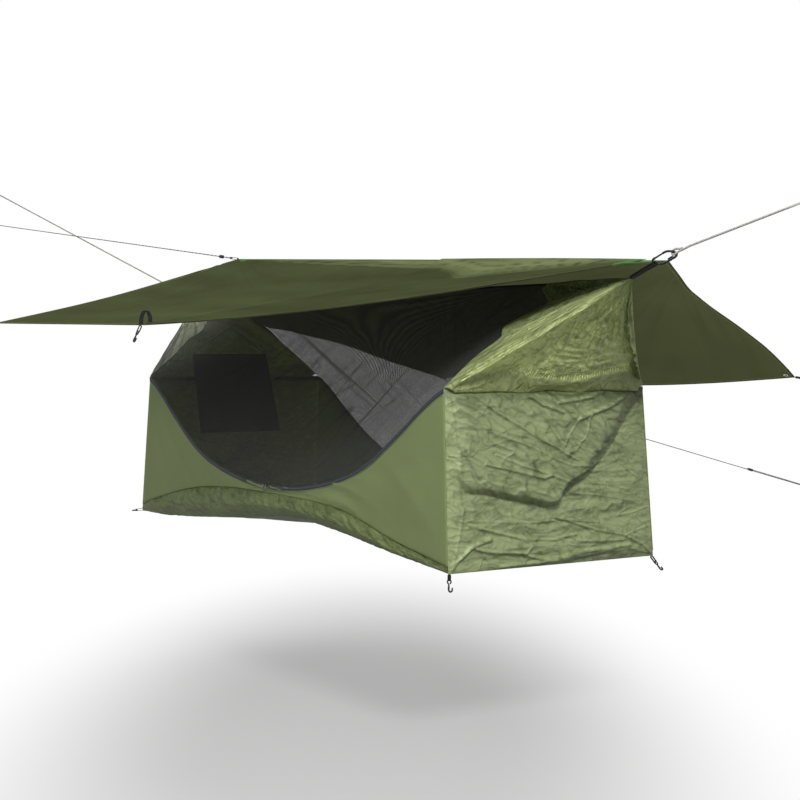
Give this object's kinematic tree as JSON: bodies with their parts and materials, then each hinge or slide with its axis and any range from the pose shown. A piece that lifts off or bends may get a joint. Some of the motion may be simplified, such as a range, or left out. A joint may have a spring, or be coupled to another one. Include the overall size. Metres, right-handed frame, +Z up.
{
  "type": "hammock tent",
  "caption": "Lay-flat hammock tent slung between ropes: boxy cloth cabin with curved zipped net doors, gable hoods, spreader bars, and a rain fly with one corner folded back",
  "frame": {"origin": "the point inside the head carabiner where the head rope bears", "axes": "+X along the tent toward the head end, +Y toward the far side away from the folded-back fly corner, +Z up"},
  "size_m": [5.6865, 4.0408, 1.5222],
  "materials": {
    "far_foot_corner_hook": "black",
    "far_foot_corner_loop": "webbing",
    "far_foot_guy": "braid",
    "far_foot_tab": "webbing",
    "far_head_corner_hook": "black",
    "far_head_corner_loop": "webbing",
    "far_head_guy": "braid",
    "far_head_tab": "webbing",
    "far_net_door": "matte mesh",
    "far_wall": "coated nylon",
    "far_zip_slider_foot": "black",
    "far_zip_slider_head": "black",
    "far_zip_tape": "woven",
    "fly_flap": "coated ripstop",
    "fly_foot_tab": "webbing",
    "fly_head_hook": "anodised black",
    "fly_head_tab": "webbing",
    "fly_ridge_line": "reflective flecked braid",
    "foot_bar_tip_far": "black",
    "foot_bar_tip_near": "black",
    "foot_carabiner": "anodised black",
    "foot_end_wall": "light nylon",
    "foot_gate": "anodised black",
    "foot_hood": "light nylon",
    "foot_pocket": "matte mesh",
    "foot_rope": "braid",
    "foot_spreader_bar": "dark anodised",
    "foot_strap": "webbing",
    "guy_tensioner": "black",
    "head_bar_tip_far": "black",
    "head_bar_tip_near": "black",
    "head_carabiner": "anodised black",
    "head_end_wall": "light nylon",
    "head_gate": "anodised black",
    "head_hood": "light nylon",
    "head_rope": "braid",
    "head_spreader_bar": "dark anodised",
    "head_strap": "webbing",
    "mid_tieout_hook": "black",
    "mid_tieout_tab": "webbing",
    "near_foot_corner_hook": "black",
    "near_foot_corner_loop": "webbing",
    "near_foot_tab": "webbing",
    "near_head_corner_hook": "black",
    "near_head_corner_loop": "webbing",
    "near_net_door": "matte mesh",
    "near_wall": "coated nylon",
    "near_zip_slider_foot": "black",
    "near_zip_slider_head": "black",
    "near_zip_tape": "woven",
    "pad_sleeve": "coated nylon",
    "pocket_cord": "braid",
    "rain_fly": "coated ripstop",
    "ridge_cord": "webbing",
    "ridge_line_slider": "black",
    "ridge_toggle": "black",
    "sleeping_pad": "coated"
  },
  "bodies": {
    "tent": {"far_foot_corner_loop": "far_foot_corner_loop", "far_foot_guy": "far_foot_guy", "far_foot_tab": "far_foot_tab", "far_head_corner_loop": "far_head_corner_loop", "far_head_guy": "far_head_guy", "far_head_tab": "far_head_tab", "far_wall": "far_wall", "far_zip_tape": "far_zip_tape", "fly_foot_tab": "fly_foot_tab", "fly_head_hook": "fly_head_hook", "fly_head_tab": "fly_head_tab", "fly_ridge_line": "fly_ridge_line", "foot_bar_tip_far": "foot_bar_tip_far", "foot_bar_tip_near": "foot_bar_tip_near", "foot_carabiner": "foot_carabiner", "foot_end_wall": "foot_end_wall", "foot_hood": "foot_hood", "foot_pocket": "foot_pocket", "foot_rope": "foot_rope", "foot_spreader_bar": "foot_spreader_bar", "foot_strap": "foot_strap", "head_bar_tip_far": "head_bar_tip_far", "head_bar_tip_near": "head_bar_tip_near", "head_carabiner": "head_carabiner", "head_end_wall": "head_end_wall", "head_hood": "head_hood", "head_rope": "head_rope", "head_spreader_bar": "head_spreader_bar", "head_strap": "head_strap", "mid_tieout_tab": "mid_tieout_tab", "near_foot_corner_loop": "near_foot_corner_loop", "near_foot_tab": "near_foot_tab", "near_head_corner_loop": "near_head_corner_loop", "near_wall": "near_wall", "near_zip_tape": "near_zip_tape", "pad_sleeve": "pad_sleeve", "pocket_cord": "pocket_cord", "rain_fly": "rain_fly", "ridge_cord": "ridge_cord", "ridge_toggle": "ridge_toggle", "sleeping_pad": "sleeping_pad"},
    "near_door": {"near_net_door": "near_net_door"},
    "far_door": {"far_net_door": "far_net_door"},
    "near_slider_foot": {"near_zip_slider_foot": "near_zip_slider_foot"},
    "near_slider_head": {"near_zip_slider_head": "near_zip_slider_head"},
    "far_slider_foot": {"far_zip_slider_foot": "far_zip_slider_foot"},
    "far_slider_head": {"far_zip_slider_head": "far_zip_slider_head"},
    "head_gate_arm": {"head_gate": "head_gate"},
    "foot_gate_arm": {"foot_gate": "foot_gate"},
    "fold_back_flap": {"fly_flap": "fly_flap"},
    "line_slider": {"ridge_line_slider": "ridge_line_slider"},
    "guy_slider": {"guy_tensioner": "guy_tensioner"},
    "hook_near_head": {"near_head_corner_hook": "near_head_corner_hook"},
    "hook_far_head": {"far_head_corner_hook": "far_head_corner_hook"},
    "hook_near_foot": {"near_foot_corner_hook": "near_foot_corner_hook"},
    "hook_far_foot": {"far_foot_corner_hook": "far_foot_corner_hook"},
    "hook_tieout": {"mid_tieout_hook": "mid_tieout_hook"}
  },
  "joints": [
    {"name": "near_door_lift", "type": "hinge", "parent": "tent", "child": "near_door", "pos_m": [-1.485, 0.0117, -0.063], "axis": [-1, 0, 0], "range_deg": [0, 28]},
    {"name": "far_door_lift", "type": "hinge", "parent": "tent", "child": "far_door", "pos_m": [-1.485, 0.0163, -0.063], "axis": [1, 0, 0], "range_deg": [0, 9]},
    {"name": "near_zip_run_foot", "type": "hinge", "parent": "tent", "child": "near_slider_foot", "pos_m": [-1.485, -0.32704, 0.975], "axis": [0, -0.9997, 0.0253], "range_deg": [-13, 0]},
    {"name": "near_zip_run_head", "type": "hinge", "parent": "tent", "child": "near_slider_head", "pos_m": [-1.485, -0.32704, 0.975], "axis": [0, -0.9997, 0.0253], "range_deg": [0, 14]},
    {"name": "far_zip_run_foot", "type": "hinge", "parent": "tent", "child": "far_slider_foot", "pos_m": [-1.485, 0.35504, 0.975], "axis": [0, -0.9997, -0.0253], "range_deg": [-13, 0]},
    {"name": "far_zip_run_head", "type": "hinge", "parent": "tent", "child": "far_slider_head", "pos_m": [-1.485, 0.35504, 0.975], "axis": [0, -0.9997, -0.0253], "range_deg": [0, 14]},
    {"name": "head_gate_swing", "type": "hinge", "parent": "tent", "child": "head_gate_arm", "pos_m": [-0.05577, -0.0123, -0.01284], "axis": [-0.2823, 0.3463, 0.8946], "range_deg": [0, 24], "stiffness_Nm_per_rad": 0.06, "springref_deg": -20.05},
    {"name": "foot_gate_swing", "type": "hinge", "parent": "tent", "child": "foot_gate_arm", "pos_m": [-2.91444, -0.00258, -0.02304], "axis": [-0.2357, -0.3508, -0.9063], "range_deg": [0, 24], "stiffness_Nm_per_rad": 0.06, "springref_deg": -20.05},
    {"name": "flap_fold", "type": "hinge", "parent": "tent", "child": "fold_back_flap", "pos_m": [-1.15191, -0.98544, -0.18955], "axis": [0.7236, 0.6796, 0.1204], "range_deg": [0, 150]},
    {"name": "line_slider_slip", "type": "slide", "parent": "tent", "child": "line_slider", "axis": [-0.9937, -0.0107, 0.112], "range_m": [-0.03, 0.25]},
    {"name": "guy_slider_slip", "type": "slide", "parent": "tent", "child": "guy_slider", "axis": [0.1387, 0.9562, -0.2578], "range_m": [-0.3, 0.3]},
    {"name": "near_head_hook_swing", "type": "hinge", "parent": "tent", "child": "hook_near_head", "pos_m": [-0.48414, -0.36588, -0.8964], "axis": [0, 1, 0], "range_deg": [-12, 12]},
    {"name": "far_head_hook_swing", "type": "hinge", "parent": "tent", "child": "hook_far_head", "pos_m": [-0.48168, 0.40486, -0.89904], "axis": [0, 1, 0], "range_deg": [-12, 12]},
    {"name": "near_foot_hook_swing", "type": "hinge", "parent": "tent", "child": "hook_near_foot", "pos_m": [-2.54043, -0.36962, -0.8806], "axis": [0, 1, 0], "range_deg": [-12, 12]},
    {"name": "far_foot_hook_swing", "type": "hinge", "parent": "tent", "child": "hook_far_foot", "pos_m": [-2.54043, 0.39763, -0.8806], "axis": [0, 1, 0], "range_deg": [-12, 12]},
    {"name": "tieout_hook_swing", "type": "hinge", "parent": "tent", "child": "hook_tieout", "pos_m": [-1.152, -0.99527, -0.21322], "axis": [1, 0, 0], "range_deg": [-12, 12]}
  ]
}
